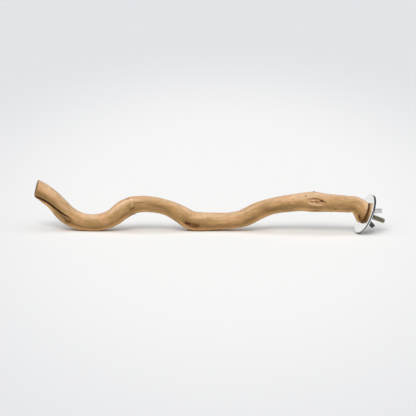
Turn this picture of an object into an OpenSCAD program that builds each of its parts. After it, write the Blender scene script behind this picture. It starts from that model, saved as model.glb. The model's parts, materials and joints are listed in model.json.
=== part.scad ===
// Bird perch: one wavy branch without its bark, which clamps to a cage wall
// by a hanger bolt in its end, two wide washers and a wing nut.
// Lengths are in millimetres and angles in degrees.
//
// The perch lies as it does on a table. +X runs along the wood to the clamp,
// +Y away from the viewer and +Z up. The origin is the middle of the perch's
// own box, at the height of the table.

/* [Wood] */
// Length of the wood, from its sawn end to the face that meets the washers
wood_length = 400; // [340:1:480]
// Mean thickness of the wood
wood_d = 21; // [18:0.5:24]
// Height that the highest arch's underside stands off the table
wave_h = 27; // [20:1:32]
// Furthest that the wood sways to either side of its middle line
sway = 12; // [6:0.5:14]
// Angle by which the clamp end drops towards the table
end_drop = 22.5; // [15:0.5:30]
// Angle by which the clamp end turns away from the viewer
end_turn = 13.5; // [5:0.5:25]
// Angle between the sawn end and a cut square to the table, leaning back
saw_lean = 15; // [0:1:25]
// Angle by which the sawn end faces the viewer
saw_turn = 7; // [0:1:20]
// Depth of the drying crack at the sawn end
crack_depth = 6; // [3:0.5:8]

/* [Hanger bolt] */
// Crest diameter of the stud's machine thread
stud_d = 6; // [5:0.5:8]
// How far the smooth shank lies below the thread's crests, on the radius
shank_below = 0.3; // [0.2:0.05:0.4]
// Length of thread that stands free beyond the nut
stud_free = 17.5; // [8:0.5:30]
// Length of the bevel on the stud's tip
stud_bevel = 0.9; // [0.4:0.1:1.2]
// Length of the screw that is sunk in the wood
screw_length = 28; // [18:1:32]
// Core diameter of that screw
screw_d = 4.6; // [4:0.1:5.2]
// Length of the screw's point
screw_point = 5; // [3:0.5:7]
// How far below the middle of the wood's end the bolt was driven in
bolt_below = 0.3; // [0:0.1:2]

/* [Washers] */
// Outer diameter of the wide washers
washer_d = 50; // [36:1:60]
// Thickness of a washer
washer_t = 1.6; // [1:0.1:2.5]
// Radius of a washer's rolled edge
washer_edge = 0.35; // [0.1:0.05:0.45]

/* [Wing nut] */
// Height of the nut's hub
nut_h = 6.5; // [5:0.5:8]
// Diameter of the hub where it meets the washer
nut_base_d = 12; // [10:0.5:14]
// Diameter of the hub at its outer end
nut_top_d = 9.6; // [8.5:0.1:11]
// Distance between the wings' tips
wing_span = 26; // [22:0.5:34]
// Height of the wings above the washer
wing_h = 14; // [11:0.5:16]
// Width of a wing, measured across its length
wing_w = 4.6; // [3.5:0.1:5.5]
// Thickness of a wing
wing_t = 2.4; // [1.6:0.1:3]
// Angle between a wing and the nut's axis
wing_splay = 30; // [20:1:40]
// Radius of the wings' corners
wing_corner = 0.9; // [0.4:0.1:1.5]
// Angle at which the nut was left on the stud
nut_turn = 17; // [-90:1:90]

/* [Clearances] */
// Gap between the wood's end and the inner washer
seat_gap = 0.1; // [0.05:0.05:0.3]
// Gap between the two washers, where the clamp was left
clamp_gap = 0.55; // [0.3:0.05:0.9]
// Gap between the outer washer and the nut
nut_gap = 0.05; // [0.05:0.05:0.3]
// Room for the thread's crests in the nut, on the radius
nut_play = 0.08; // [0.05:0.01:0.15]
// Room for the thread's crests in a washer's hole, on the radius
washer_play = 0.3; // [0.2:0.05:0.5]
// Room round the screw in its hole, on the radius
pilot_play = 0.05; // [0.02:0.01:0.1]

/* [Hidden] */

wood_color = [0.80, 0.64, 0.47];
plated_color = [0.78, 0.79, 0.80];
rim_color = [0.70, 0.71, 0.73];

// Overrun of a cut past the face that it starts from
overrun = 1;
// Corner bevel of the nut's hub
hub_bevel = 0.4;
// Length over which a slanting cut fades into sections square to the wood
cut_fade = 24;

// The wood's course, chosen by hand, one row for each place along it:
// [place in wood lengths, sway in furthest sways,
//  height of the underside in wave heights, thickness in mean thicknesses]
// The last height is a blank, because the washers' rim sets it.
course_shares = [
    [0.000, 0.88, 1.600, 0.96],
    [0.050, 0.83, 1.030, 0.99],
    [0.090, 0.77, 0.362, 1.02],
    [0.130, 0.66, 0.072, 1.00],
    [0.165, 0.58, 0.000, 0.98],
    [0.200, 0.44, 0.050, 0.98],
    [0.235, 0.30, 0.245, 1.03],
    [0.265, 0.17, 0.572, 1.09],
    [0.300, 0.06, 0.852, 0.98],
    [0.350, 0.02, 0.905, 0.91],
    [0.400, 0.20, 0.743, 0.88],
    [0.440, 0.42, 0.400, 0.98],
    [0.470, 0.56, 0.100, 1.03],
    [0.500, 0.62, 0.007, 1.06],
    [0.550, 0.60, 0.032, 1.00],
    [0.600, 0.48, 0.083, 0.98],
    [0.640, 0.31, 0.245, 1.03],
    [0.680, 0.08, 0.580, 1.00],
    [0.720, -0.13, 0.830, 0.93],
    [0.770, -0.40, 0.955, 0.99],
    [0.810, -0.58, 1.004, 1.05],
    [0.845, -0.71, 0.975, 1.11],
    [0.890, -0.83, 0.980, 1.05],
    [0.950, -0.95, 0.957, 0.99],
    [0.975, -0.97, 0.925, 0.98],
    [1.000, -0.81, 0.000, 1.23],
];

// Knots and scars, one row each: [place in wood lengths, angle round the wood,
// half its length, half its width, rise of its swelling, depth of its scar],
// the last four in mean thicknesses. Angle 0 faces the viewer, 90 is the top.
knot_shares = [
    [0.102, -28, 0.14, 0.20, 0.095, 0.040],
    [0.230, 165, 0.40, 0.30, 0.060, 0.040],
    [0.288, 88, 0.10, 0.30, -0.022, 0.000],
    [0.298, -12, 0.16, 0.12, 0.015, 0.050],
    [0.466, -17, 0.22, 0.12, 0.035, 0.060],
    [0.490, -24, 0.28, 0.14, 0.040, 0.060],
    [0.605, 140, 0.34, 0.28, 0.055, 0.045],
    [0.722, 205, 0.26, 0.22, 0.045, 0.035],
    [0.825, 45, 0.14, 0.14, 0.020, 0.025],
    [0.846, 86, 0.50, 0.50, 0.080, 0.000],
    [0.855, 12, 0.56, 0.30, 0.050, 0.045],
    [0.915, -28, 0.14, 0.12, 0.015, 0.030],
    [0.990, -95, 0.22, 0.40, 0.050, 0.000],
];

// Rings where a twig's base once went round the wood, one row each:
// [place in wood lengths, half its length, its rise in mean thicknesses]
collar_shares = [
    [0.292, 0.18, 0.030],
    [0.472, 0.40, 0.020],
];

// The drying crack: [place in wood lengths, angle round the wood]
crack_shares = [
    [0.000, -76],
    [0.012, -60],
    [0.031, -41],
    [0.059, -25],
    [0.075, -11],
    [0.089, 0],
    [0.106, 4],
    [1.000, 4],
];
// Where the crack runs out, in wood lengths
crack_end_share = 0.106;

// Number of sections along the wood, and of points round each
rings = 138;
sides = 40;
// How strongly the points crowd towards the crack, as an angle
crowding = 46;
// How far the sections leave a circle, with two and with three lobes
oval_share = 0.030;
lobe_share = 0.014;
// Turns that the lobes make along the wood
oval_twist = 320;
lobe_twist = -610;
// A scar's size beside its swelling
scar_share = 0.45;
// Half lengths past which a knot no longer counts
bell_reach = 3;
// How far the sections crowd towards the two ends
end_crowding_share = 0.018;
// Heights on the nut's hub, in hub heights: its straight foot, and where a
// wing's root starts
foot_share = 0.25;
root_share = 0.20;
// Part of a wing's outer edge that is straight
straight_share = 0.75;

// Sizes that follow from the ones above
stud_r = stud_d / 2;
shank_r = stud_r - shank_below;
washer_r = washer_d / 2;
stack = seat_gap + 2 * washer_t + clamp_gap;
nut_seat = stack + nut_gap;
stud_end = nut_seat + nut_h + stud_free;
nut_bore_r = stud_r + nut_play;

// Height of the stud's axis at the wood's end: the outer washer's rim stands
// on the table
seat_z = (washer_r - washer_edge) * cos(end_drop) + washer_edge
    + (stack - washer_edge) * sin(end_drop);
// Height of the middle of the wood's end
end_z = seat_z + bolt_below * cos(end_drop);

// Cubic through a table's rows: column c at place u
function row_slope(t, i, c) =
    let (a = max(i - 1, 0), b = min(i + 1, len(t) - 1))
    (t[b][c] - t[a][c]) / (t[b][0] - t[a][0]);
function row_of(t, u, i = 0) =
    i >= len(t) - 2 || u < t[i + 1][0] ? i : row_of(t, u, i + 1);
function table(t, c, u) =
    let (
        i = row_of(t, u),
        h = t[i + 1][0] - t[i][0],
        w = (u - t[i][0]) / h,
        m0 = row_slope(t, i, c) * h,
        m1 = row_slope(t, i + 1, c) * h
    )
    (2 * pow(w, 3) - 3 * pow(w, 2) + 1) * t[i][c]
    + (pow(w, 3) - 2 * pow(w, 2) + w) * m0
    + (3 * pow(w, 2) - 2 * pow(w, 3)) * t[i + 1][c]
    + (pow(w, 3) - pow(w, 2)) * m1;

// The course in millimetres, with the end row set by the clamp
end_row = len(course_shares) - 1;
course = [
    for (i = [0:end_row])
        let (
            row = course_shares[i],
            thick = row[3] * wood_d,
            low = row[2] * wave_h + thick / 2
        )
        [row[0], row[1] * sway, i == end_row ? end_z : low, thick]
];
function centre(u) = [u * wood_length, table(course, 1, u), table(course, 2, u)];

// The wood's direction at place u, from two places close beside it
function unit(v) = v / norm(v);
step_share = 0.002;
function along(u) =
    let (a = max(u - step_share, 0), b = min(u + step_share, 1))
    unit(centre(b) - centre(a));

// Normals of the two cuts, both pointing out of the wood
function heading(drop, turn) =
    [cos(drop) * cos(turn), cos(drop) * sin(turn), -sin(drop)];
saw_normal = -heading(saw_lean, saw_turn);
stud_dir = heading(end_drop, end_turn);

// Swellings and scars add to the radius, as bells of height 1
function bell(q) = exp(-q * q);
function around(a) = a - 360 * round(a / 360);
function knot_rise(k, u, a) =
    let (
        run = (u - k[0]) * wood_length / (k[2] * wood_d),
        arc = around(a - k[1]) * PI / 360 / k[3],
        q = norm([run, arc])
    )
    k[4] * bell(q) - k[5] * bell(q / scar_share);
function collar_rise(k, u) = k[2] * bell((u - k[0]) * wood_length / (k[1] * wood_d));
function sum(v, i = 0) = i >= len(v) ? 0 : v[i] + sum(v, i + 1);
function knots_near(u) =
    [for (k = knot_shares) if (abs(u - k[0]) * wood_length < bell_reach * k[2] * wood_d) k];
function roundness(u, a) =
    1 + oval_share * cos(2 * a + oval_twist * u) + lobe_share * cos(3 * a + lobe_twist * u);

// The crack is a deep narrow valley on the column where the points crowd
function crack_angle(u) = table(crack_shares, 1, u);
function crack_at(u) = crack_depth * sqrt(max(0, 1 - u / crack_end_share));
valley_shares = [1, 0.12, 0.02];
function valley(j) =
    let (k = min(j, sides - j))
    k < len(valley_shares) ? valley_shares[k] : 0;
function fan(j) = 360 * j / sides - crowding * sin(360 * j / sides);

// How far a point slides along the wood to lie on a slanting cut, which fades
// with the distance from it
function fade(far) = pow(max(0, 1 - far / cut_fade), 2);
function slide(out, t, n) = -(out * n) / (t * n);

// The points of the section at place u
function section(u) =
    let (
        t = along(u),
        away = unit([0, 1, 0] - t[1] * t),
        up = cross(t, away),
        middle = centre(u),
        half = table(course, 3, u) / 2,
        first = crack_angle(u),
        cut = crack_at(u),
        knots = knots_near(u),
        collars = sum([for (k = collar_shares) collar_rise(k, u)]),
        start = fade(u * wood_length),
        end = fade((1 - u) * wood_length)
    )
    [
        for (j = [0:sides - 1])
            let (
                a = first + fan(j),
                swell = collars + sum([for (k = knots) knot_rise(k, u, a)]),
                r = half * roundness(u, a) + swell * wood_d - cut * valley(j),
                out = r * (sin(a) * up - cos(a) * away),
                slid = start * slide(out, t, saw_normal) + end * slide(out, t, stud_dir)
            )
            middle + out + slid * t
    ];

// The sections crowd a little towards the two ends
function place(i) = let (w = i / (rings - 1)) w - end_crowding_share * sin(360 * w);
skin_points = [for (i = [0:rings - 1]) each section(place(i))];

// The clamp's own frame: +Z out along the stud, from the wood's end face
seat = centre(1) - bolt_below * heading(end_drop - 90, end_turn);
module at_clamp(z = 0)
    translate(seat)
        rotate([0, 90 + end_drop, end_turn])
            translate([0, 0, z])
                children();

// The perch's own box, which puts the origin under its middle
rim_reach = washer_r * sqrt(1 - pow(stud_dir[1], 2));
tip_reach = (stud_r - stud_bevel) * sqrt(1 - pow(stud_dir[0], 2));
tip = seat + stud_end * stud_dir;
low = [
    min([for (p = skin_points) p[0]]),
    min(min([for (p = skin_points) p[1]]), seat[1] - rim_reach),
    min(min([for (p = skin_points) p[2]]), 0),
];
high = [
    tip[0] + tip_reach,
    max(max([for (p = skin_points) p[1]]), seat[1] + stack * stud_dir[1] + rim_reach),
];
origin = [(low[0] + high[0]) / 2, (low[1] + high[1]) / 2, low[2]];
module lying()
    translate(-origin)
        children();

// One unbroken skin of rings, closed by the two cut faces
module wood() {
    sawn = [for (j = [sides - 1:-1:0]) j];
    seated = [for (j = [0:sides - 1]) (rings - 1) * sides + j];
    walls = [
        for (i = [0:rings - 2]) for (j = [0:sides - 1])
            let (
                k = (j + 1) % sides,
                a = i * sides + j,
                b = i * sides + k,
                c = a + sides,
                d = b + sides
            )
            each [[a, b, c], [b, d, c]]
    ];
    polyhedron(points = skin_points, faces = concat([sawn, seated], walls));
}

module branch()
    color(wood_color)
        lying()
            difference() {
                wood();
                at_clamp(-screw_length)
                    cylinder(h = screw_length + overrun, d = screw_d + 2 * pilot_play, $fn = 48);
            }

// A turned profile: [radius, height] pairs from the axis out and back
module turned(profile)
    rotate_extrude($fn = 72)
        polygon(profile);

module hanger_bolt()
    color(plated_color)
        lying()
            at_clamp()
                turned([
                    [0, pilot_play - screw_length],
                    [screw_d / 2, screw_point - screw_length],
                    [screw_d / 2, 0],
                    [shank_r, 0],
                    [shank_r, nut_seat + nut_h],
                    [stud_r, nut_seat + nut_h],
                    [stud_r, stud_end - stud_bevel],
                    [stud_r - stud_bevel, stud_end],
                    [0, stud_end],
                ]);

// A flat ring whose outer edges are rolled round
module washer()
    rotate_extrude($fn = 120) {
        hole_r = stud_r + washer_play;
        flat_r = washer_r - washer_edge;
        translate([hole_r, 0])
            square([flat_r - hole_r, washer_t]);
        translate([hole_r, washer_edge])
            square([washer_r - hole_r, washer_t - 2 * washer_edge]);
        for (z = [washer_edge, washer_t - washer_edge])
            translate([flat_r, z])
                circle(r = washer_edge, $fn = 24);
    }

module inner_washer()
    color(plated_color)
        lying()
            at_clamp(seat_gap)
                washer();

module outer_washer()
    color(rim_color)
        lying()
            at_clamp(seat_gap + washer_t + clamp_gap)
                washer();

// The hub is turned, with a tapered side and a bevelled bore
module nut_hub()
    turned([
        [nut_bore_r, 0],
        [nut_base_d / 2 - hub_bevel, 0],
        [nut_base_d / 2, hub_bevel],
        [nut_base_d / 2, foot_share * nut_h],
        [nut_top_d / 2, nut_h - hub_bevel],
        [nut_top_d / 2 - hub_bevel, nut_h],
        [nut_bore_r + hub_bevel, nut_h],
        [nut_bore_r, nut_h - hub_bevel],
    ]);

// A wing's outline, in radius and height: a splayed strip with a square tip,
// whose root widens down the hub's side
wing_dir = [sin(wing_splay), cos(wing_splay)];
wing_side = [cos(wing_splay), -sin(wing_splay)];
module wing_outline() {
    flat = wing_w - 2 * wing_corner;
    outer = [wing_span / 2 - wing_corner, wing_h - wing_corner - flat * sin(wing_splay)];
    inner = outer - flat * wing_side;
    hub_r = (nut_bore_r + nut_top_d / 2) / 2;
    low = root_share * nut_h;
    // Where the wing's outer edge meets its flared root
    knee = outer - straight_share * (outer[1] - low) / wing_dir[1] * wing_dir;
    polygon([
        [hub_r, low],
        [nut_base_d / 2, low],
        knee + wing_corner * wing_side,
        outer + wing_corner * wing_side,
        outer + wing_corner * wing_dir,
        inner + wing_corner * wing_dir,
        inner - wing_corner * wing_side,
        [nut_top_d / 2 - hub_bevel, nut_h - hub_bevel],
        [hub_r, nut_h - hub_bevel],
    ]);
    for (p = [outer, inner])
        translate(p)
            circle(r = wing_corner, $fn = 32);
}

module wing()
    rotate([90, 0, 0])
        translate([0, 0, -wing_t / 2])
            linear_extrude(wing_t)
                wing_outline();

module wing_nut()
    color(plated_color)
        lying()
            at_clamp(nut_seat)
                rotate(nut_turn) {
                    nut_hub();
                    for (a = [0, 180])
                        rotate(a)
                            wing();
                }

branch();
hanger_bolt();
inner_washer();
outer_washer();
wing_nut();
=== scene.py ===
# %% [markdown]
# # A perch made from a wavy branch
#
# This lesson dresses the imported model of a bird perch: one branch without its bark, a hanger
# bolt sunk in its end, two wide washers and a wing nut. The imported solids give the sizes, the
# joints and the place of everything. What Blender adds is what the eye looks for: fibres,
# knots and a drying crack in the wood, a real thread on the bolt, and bright plating.
#
# Every new piece is a surface worked out with numpy: rings of points, computed as whole
# arrays, with quads between them. Tables are in millimetres and degrees, as a joiner would
# measure them, and meshes are in metres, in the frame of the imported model: +X along the wood
# to the clamp, +Y away from the viewer, +Z up.

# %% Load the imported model
import functools
import json

import bpy
import numpy as np
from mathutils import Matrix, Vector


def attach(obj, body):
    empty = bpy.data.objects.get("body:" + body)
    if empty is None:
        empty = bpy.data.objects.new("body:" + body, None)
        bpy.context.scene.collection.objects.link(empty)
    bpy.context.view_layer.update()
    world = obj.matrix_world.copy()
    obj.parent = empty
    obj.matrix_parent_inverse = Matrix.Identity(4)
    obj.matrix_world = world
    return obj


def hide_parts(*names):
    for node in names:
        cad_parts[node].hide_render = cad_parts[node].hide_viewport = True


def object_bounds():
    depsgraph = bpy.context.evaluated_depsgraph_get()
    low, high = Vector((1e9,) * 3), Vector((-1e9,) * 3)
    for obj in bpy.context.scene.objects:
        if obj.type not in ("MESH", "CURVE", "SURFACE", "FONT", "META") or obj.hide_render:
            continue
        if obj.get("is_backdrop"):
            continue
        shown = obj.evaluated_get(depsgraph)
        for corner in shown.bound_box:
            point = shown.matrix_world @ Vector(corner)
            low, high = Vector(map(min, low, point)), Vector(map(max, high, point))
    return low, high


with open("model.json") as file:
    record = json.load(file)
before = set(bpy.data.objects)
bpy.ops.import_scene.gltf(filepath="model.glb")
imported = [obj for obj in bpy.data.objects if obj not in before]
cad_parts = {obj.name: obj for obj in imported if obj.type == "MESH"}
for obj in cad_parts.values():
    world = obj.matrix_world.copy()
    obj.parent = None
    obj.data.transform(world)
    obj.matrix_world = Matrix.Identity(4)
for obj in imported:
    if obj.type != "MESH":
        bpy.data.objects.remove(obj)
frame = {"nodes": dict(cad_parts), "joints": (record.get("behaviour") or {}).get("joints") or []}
cad_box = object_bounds()
scene = bpy.context.scene
print("packed nodes:", sorted(frame["nodes"]))

# %% [markdown]
# ## The camera
#
# The photograph looks straight along +Y from ten degrees above the table, from far away, so
# a long lens stands four metres off. Two facts place it: how many pixels of the picture show
# one millimetre of the object, and which point of the object falls on the picture's middle.

# %% The camera
MM = 0.001
PICTURE_PX = 416
PX_PER_MM = 0.82
LOOK_DOWN = 10
CAMERA_FAR = 4.0
MIDDLE_X = -1.50
MIDDLE_HEIGHT = 30.24
SENSOR_MM = 36


def cosd(degrees):
    """Cosine of an angle in degrees."""
    return np.cos(np.radians(degrees))


def sind(degrees):
    """Sine of an angle in degrees."""
    return np.sin(np.radians(degrees))


def add_camera():
    """A long lens whose picture is as wide as the photograph's, at the same scale."""
    view_width = PICTURE_PX / PX_PER_MM * MM
    lens = bpy.data.cameras.new("camera")
    lens.sensor_width = SENSOR_MM
    lens.lens = SENSOR_MM * CAMERA_FAR / view_width
    lens.clip_end = 100
    camera = bpy.data.objects.new("camera", lens)
    aim = np.array([MIDDLE_X, 0, MIDDLE_HEIGHT / cosd(LOOK_DOWN)]) * MM
    camera.location = aim + CAMERA_FAR * np.array([0, -cosd(LOOK_DOWN), sind(LOOK_DOWN)])
    camera.rotation_euler = (np.radians(90 - LOOK_DOWN), 0, 0)
    scene.collection.objects.link(camera)
    scene.camera = camera
    print(f"lens {lens.lens:.0f} mm, picture {view_width / MM:.0f} mm wide")


add_camera()

# %% [markdown]
# ## Where the clamp is
#
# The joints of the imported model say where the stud's axis runs. Everything on the stud is
# turned round that axis, so it is made in the clamp's own frame, with +Z out along the stud
# from the wood's end, and carried over by three directions and one point.

# %% The clamp's frame, from the joints
SEAT_GAP = 0.1
WASHER_T = 1.6
CLAMP_GAP = 0.55
NUT_GAP = 0.05

joints = {joint["name"]: joint for joint in frame["joints"]}
stud_dir = np.array(joints["inner_washer_spin"]["axis"], float)
stud_dir /= np.linalg.norm(stud_dir)
END_DROP = float(np.degrees(np.arcsin(-stud_dir[2])))
END_TURN = float(np.degrees(np.arctan2(stud_dir[1], stud_dir[0])))
washer_middle = np.array(joints["inner_washer_spin"]["pos_m"]) / MM
seat = washer_middle - (SEAT_GAP + WASHER_T / 2) * stud_dir


def heading(drop, turn):
    """The direction that drops by one angle below level and turns by another from +X."""
    return np.array([cosd(drop) * cosd(turn), cosd(drop) * sind(turn), -sind(drop)])


clamp_axes = np.stack([
    heading(END_DROP + 90, END_TURN),
    [-sind(END_TURN), cosd(END_TURN), 0],
    stud_dir,
])


def at_clamp(points, lift=0.0):
    """Carries points from the clamp's frame, lifted along the stud, into the model's."""
    return seat + (points + np.array([0, 0, lift])) @ clamp_axes


print(f"the stud drops {END_DROP:.1f} and turns {END_TURN:.1f} degrees, seat {seat.round(2)}")

# %% [markdown]
# ## From rings to a mesh
#
# A branch, a bolt, a washer and a nut are all closed surfaces round an axis, so one helper
# makes them all: a stack of rings, quads between neighbours, and a fan of triangles to the
# middle of the first and the last ring. A washer's profile closes on itself instead. The sign
# of the enclosed volume tells whether the faces point out, and they are turned if they don't.

# %% Helpers for meshes


def full_turn(sides):
    """Equal angles in radians, once round."""
    return np.linspace(0, 2 * np.pi, sides, endpoint=False)


def turned(r, z, theta):
    """Points round the Z axis, from their radius, height and angle in radians."""
    return np.stack([r * np.cos(theta), r * np.sin(theta), z + 0 * theta], -1)


def mesh_from_rings(name, rings, values=None, sharp_angle=None, loop=False):
    """A closed mesh through rings of points in mm, with one attribute for each array in
    values. The ends are closed by fans to their middles or, for a loop, to each other."""
    rows, columns = rings.shape[:2]
    points = rings.reshape(-1, 3)
    i = columns * np.arange(rows if loop else rows - 1)[:, None]
    j = np.arange(columns)[None, :]
    k = (j + 1) % columns
    above = (i + columns) % (rows * columns)
    quads = np.stack([i + j, i + k, above + k, above + j], -1).reshape(-1, 4)
    fans = np.zeros((0, 3), int)
    if not loop:
        points = np.concatenate([points, rings[0].mean(0)[None], rings[-1].mean(0)[None]])
        j, k, last = j[0], k[0], (rows - 1) * columns
        near = np.stack([np.full(columns, rows * columns), k, j], -1)
        far = np.stack([np.full(columns, rows * columns + 1), last + j, last + k], -1)
        fans = np.concatenate([near, far])
    triangles = np.concatenate([quads[:, [0, 1, 2]], quads[:, [0, 2, 3]], fans])
    faces = quads.tolist() + fans.tolist()
    # The determinants of the triangles' corners add up to six times the enclosed volume
    if np.linalg.det((points - points.mean(0))[triangles]).sum() < 0:
        faces = [face[::-1] for face in faces]
    mesh = bpy.data.meshes.new(name)
    mesh.from_pydata((points * MM).tolist(), [], faces)
    mesh.polygons.foreach_set("use_smooth", np.ones(len(faces), bool))
    for key, value in (values or {}).items():
        flat = value.reshape(rows * columns, -1)
        if not loop:
            ends = value[[0, -1]].reshape(2, columns, -1).mean(1)
            flat = np.concatenate([flat, ends])
        kind, field = ("FLOAT_VECTOR", "vector") if flat.shape[1] == 3 else ("FLOAT", "value")
        layer = mesh.attributes.new(key, kind, "POINT")
        layer.data.foreach_set(field, flat.astype(np.float32).ravel())
    if sharp_angle is not None:
        mesh.set_sharp_from_angle(angle=np.radians(sharp_angle))
    mesh.update()
    piece = bpy.data.objects.new(name, mesh)
    scene.collection.objects.link(piece)
    print(f"{name}: {len(triangles)} triangles, {np.ptp(points, axis=0).round(1)} mm")
    return piece


# %% [markdown]
# Wood is never quite regular. A lattice of random heights, blended smoothly between its
# corners, gives an unevenness whose grain can be stretched: cells ten times as long as they
# are wide look like fibres. Fixed seeds give the same branch in each run.

# %% Smooth noise
LATTICE = 64


def smooth_noise(points, cell, seed):
    """Random heights from -1 to 1 at the corners of a lattice with the given cell size,
    blended in each direction by 3t^2 - 2t^3."""
    heights = np.random.default_rng(seed).uniform(-1, 1, (LATTICE,) * 3)
    scaled = points / np.asarray(cell, float)
    corner = np.floor(scaled).astype(int)
    t = scaled - corner
    t = t * t * (3 - 2 * t)
    total = np.zeros(points.shape[:-1])
    for step in np.ndindex(2, 2, 2):
        index = (corner + step) % LATTICE
        weight = np.prod(np.where(step, t, 1 - t), axis=-1)
        total += weight * heights[index[..., 0], index[..., 1], index[..., 2]]
    return total


# %% [markdown]
# ## The branch's course
#
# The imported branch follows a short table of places: how far it sways sideways, how high its
# underside stands, and how thick it is. This one follows the same table, so that both have
# the same outline. A cubic through the rows joins them without kinks. The last height follows
# from the washers, whose rim stands on the table.

# %% The branch's course
WOOD_LENGTH = 400
WOOD_D = 21
WAVE_H = 27
SWAY = 12
BOLT_BELOW = 0.3
WASHER_R = 25
WASHER_EDGE = 0.35
STEP_SHARE = 0.002

# Rows of place, sway, height of the underside, thickness, each a share of its size above
COURSE_SHARES = np.array([
    [0.000, 0.88, 1.600, 0.96],
    [0.050, 0.83, 1.030, 0.99],
    [0.090, 0.77, 0.362, 1.02],
    [0.130, 0.66, 0.072, 1.00],
    [0.165, 0.58, 0.000, 0.98],
    [0.200, 0.44, 0.050, 0.98],
    [0.235, 0.30, 0.245, 1.03],
    [0.265, 0.17, 0.572, 1.09],
    [0.300, 0.06, 0.852, 0.98],
    [0.350, 0.02, 0.905, 0.91],
    [0.400, 0.20, 0.743, 0.88],
    [0.440, 0.42, 0.400, 0.98],
    [0.470, 0.56, 0.100, 1.03],
    [0.500, 0.62, 0.007, 1.06],
    [0.550, 0.60, 0.032, 1.00],
    [0.600, 0.48, 0.083, 0.98],
    [0.640, 0.31, 0.245, 1.03],
    [0.680, 0.08, 0.580, 1.00],
    [0.720, -0.13, 0.830, 0.93],
    [0.770, -0.40, 0.955, 0.99],
    [0.810, -0.58, 1.004, 1.05],
    [0.845, -0.71, 0.975, 1.11],
    [0.890, -0.83, 0.980, 1.05],
    [0.950, -0.95, 0.957, 0.99],
    [0.975, -0.97, 0.925, 0.98],
    [1.000, -0.81, 0.000, 1.23],
])


def cubic(w, start, end, leave, arrive):
    """The cubic from start to end as w goes from 0 to 1, with the slopes leave and arrive."""
    ends = (2 * w**3 - 3 * w**2 + 1) * start + (3 * w**2 - 2 * w**3) * end
    return ends + (w**3 - 2 * w**2 + w) * leave + (w**3 - w**2) * arrive


def curve_through(rows, column, place):
    """A cubic through a table's rows, whose slope at each row is that of the line between
    its two neighbours."""
    at, value = rows[:, 0], rows[:, column]
    number = np.arange(len(at))
    before, after = np.maximum(number - 1, 0), np.minimum(number + 1, len(at) - 1)
    slope = (value[after] - value[before]) / (at[after] - at[before])
    i = np.clip(np.searchsorted(at, place, side="right") - 1, 0, len(at) - 2)
    h = at[i + 1] - at[i]
    w = (place - at[i]) / h
    return cubic(w, value[i], value[i + 1], slope[i] * h, slope[i + 1] * h)


stack = SEAT_GAP + 2 * WASHER_T + CLAMP_GAP
seat_height = (WASHER_R - WASHER_EDGE) * cosd(END_DROP) + WASHER_EDGE
seat_height += (stack - WASHER_EDGE) * sind(END_DROP)

course = COURSE_SHARES * [1, SWAY, WAVE_H, WOOD_D]
course[:, 2] += course[:, 3] / 2
course[-1, 2] = seat_height + BOLT_BELOW * cosd(END_DROP)

# The table's own origin is the wood's start, and the model's is the middle of the object
end_middle = seat + BOLT_BELOW * heading(END_DROP - 90, END_TURN)
origin = np.array([WOOD_LENGTH, course[-1, 1], course[-1, 2]]) - end_middle


def middle_line(place):
    """The wood's middle at each place: along X, swaying in Y, rising and falling in Z."""
    points = [place * WOOD_LENGTH, curve_through(course, 1, place), curve_through(course, 2, place)]
    return np.stack(points, -1) - origin


def unit(vectors):
    """The same directions with length 1."""
    return vectors / np.linalg.norm(vectors, axis=-1, keepdims=True)


def directions(place):
    """Along the wood, away from the viewer, and up, each square to the others."""
    ahead, behind = np.minimum(place + STEP_SHARE, 1), np.maximum(place - STEP_SHARE, 0)
    along = unit(middle_line(ahead) - middle_line(behind))
    away = unit(np.array([0, 1, 0]) - along[:, 1:2] * along)
    return along, away, np.cross(along, away)


def cumulative_length(points):
    """Distance along a line of points, from the first."""
    steps = np.linalg.norm(np.diff(points, axis=0), axis=1)
    return np.concatenate([[0], np.cumsum(steps)])


every_mm = middle_line(np.linspace(0, 1, WOOD_LENGTH))
print(f"wood {cumulative_length(every_mm)[-1]:.0f} mm along its bends")

# %% [markdown]
# ## Knots, scars and the crack
#
# Where a twig grew, the branch swells and its fibres part. Where the twig was cut off, a scar
# stays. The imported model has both, and the crack, from the same numbers. Four more tables
# hold what is too fine for it: slits and pits, the strokes that a knot, a scar and a fold are
# drawn with, low swellings, and soft brown patches. They could be sculpted and painted by
# hand, but in a table one mark can be moved or deepened without touching the rest. Angles go
# round the wood, with 0 facing the viewer and 90 at the top.

# %% The tables of knots and marks
# Place in wood lengths, angle, half length, half width, rise and scar depth as in the model
KNOT_SHARES = [
    [0.102, -28, 0.14, 0.20, 0.095, 0.040],
    [0.230, 165, 0.40, 0.30, 0.060, 0.040],
    [0.288, 88, 0.10, 0.30, -0.022, 0.000],
    [0.298, -12, 0.16, 0.12, 0.015, 0.050],
    [0.466, -17, 0.22, 0.12, 0.035, 0.060],
    [0.490, -24, 0.28, 0.14, 0.040, 0.060],
    [0.605, 140, 0.34, 0.28, 0.055, 0.045],
    [0.722, 205, 0.26, 0.22, 0.045, 0.035],
    [0.825, 45, 0.14, 0.14, 0.020, 0.025],
    [0.846, 86, 0.50, 0.50, 0.080, 0.000],
    [0.855, 12, 0.56, 0.30, 0.050, 0.045],
    [0.915, -28, 0.14, 0.12, 0.015, 0.030],
    [0.990, -95, 0.22, 0.40, 0.050, 0.000],
]
# Place in wood lengths, half length, rise
COLLAR_SHARES = [[0.292, 0.18, 0.030], [0.472, 0.40, 0.020]]
# Place in wood lengths, angle
CRACK_SHARES = np.array([
    [0.000, -64], [0.012, -54], [0.031, -40], [0.059, -25],
    [0.075, -11], [0.089, 0], [0.106, 4], [1.000, 4],
])
CRACK_END_SHARE = 0.106
CRACK_DEPTH = 6
SCAR_SHARE = 0.45
OVAL_SHARE, OVAL_TWIST = 0.030, 320
LOBE_SHARE, LOBE_TWIST = 0.014, -610

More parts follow.
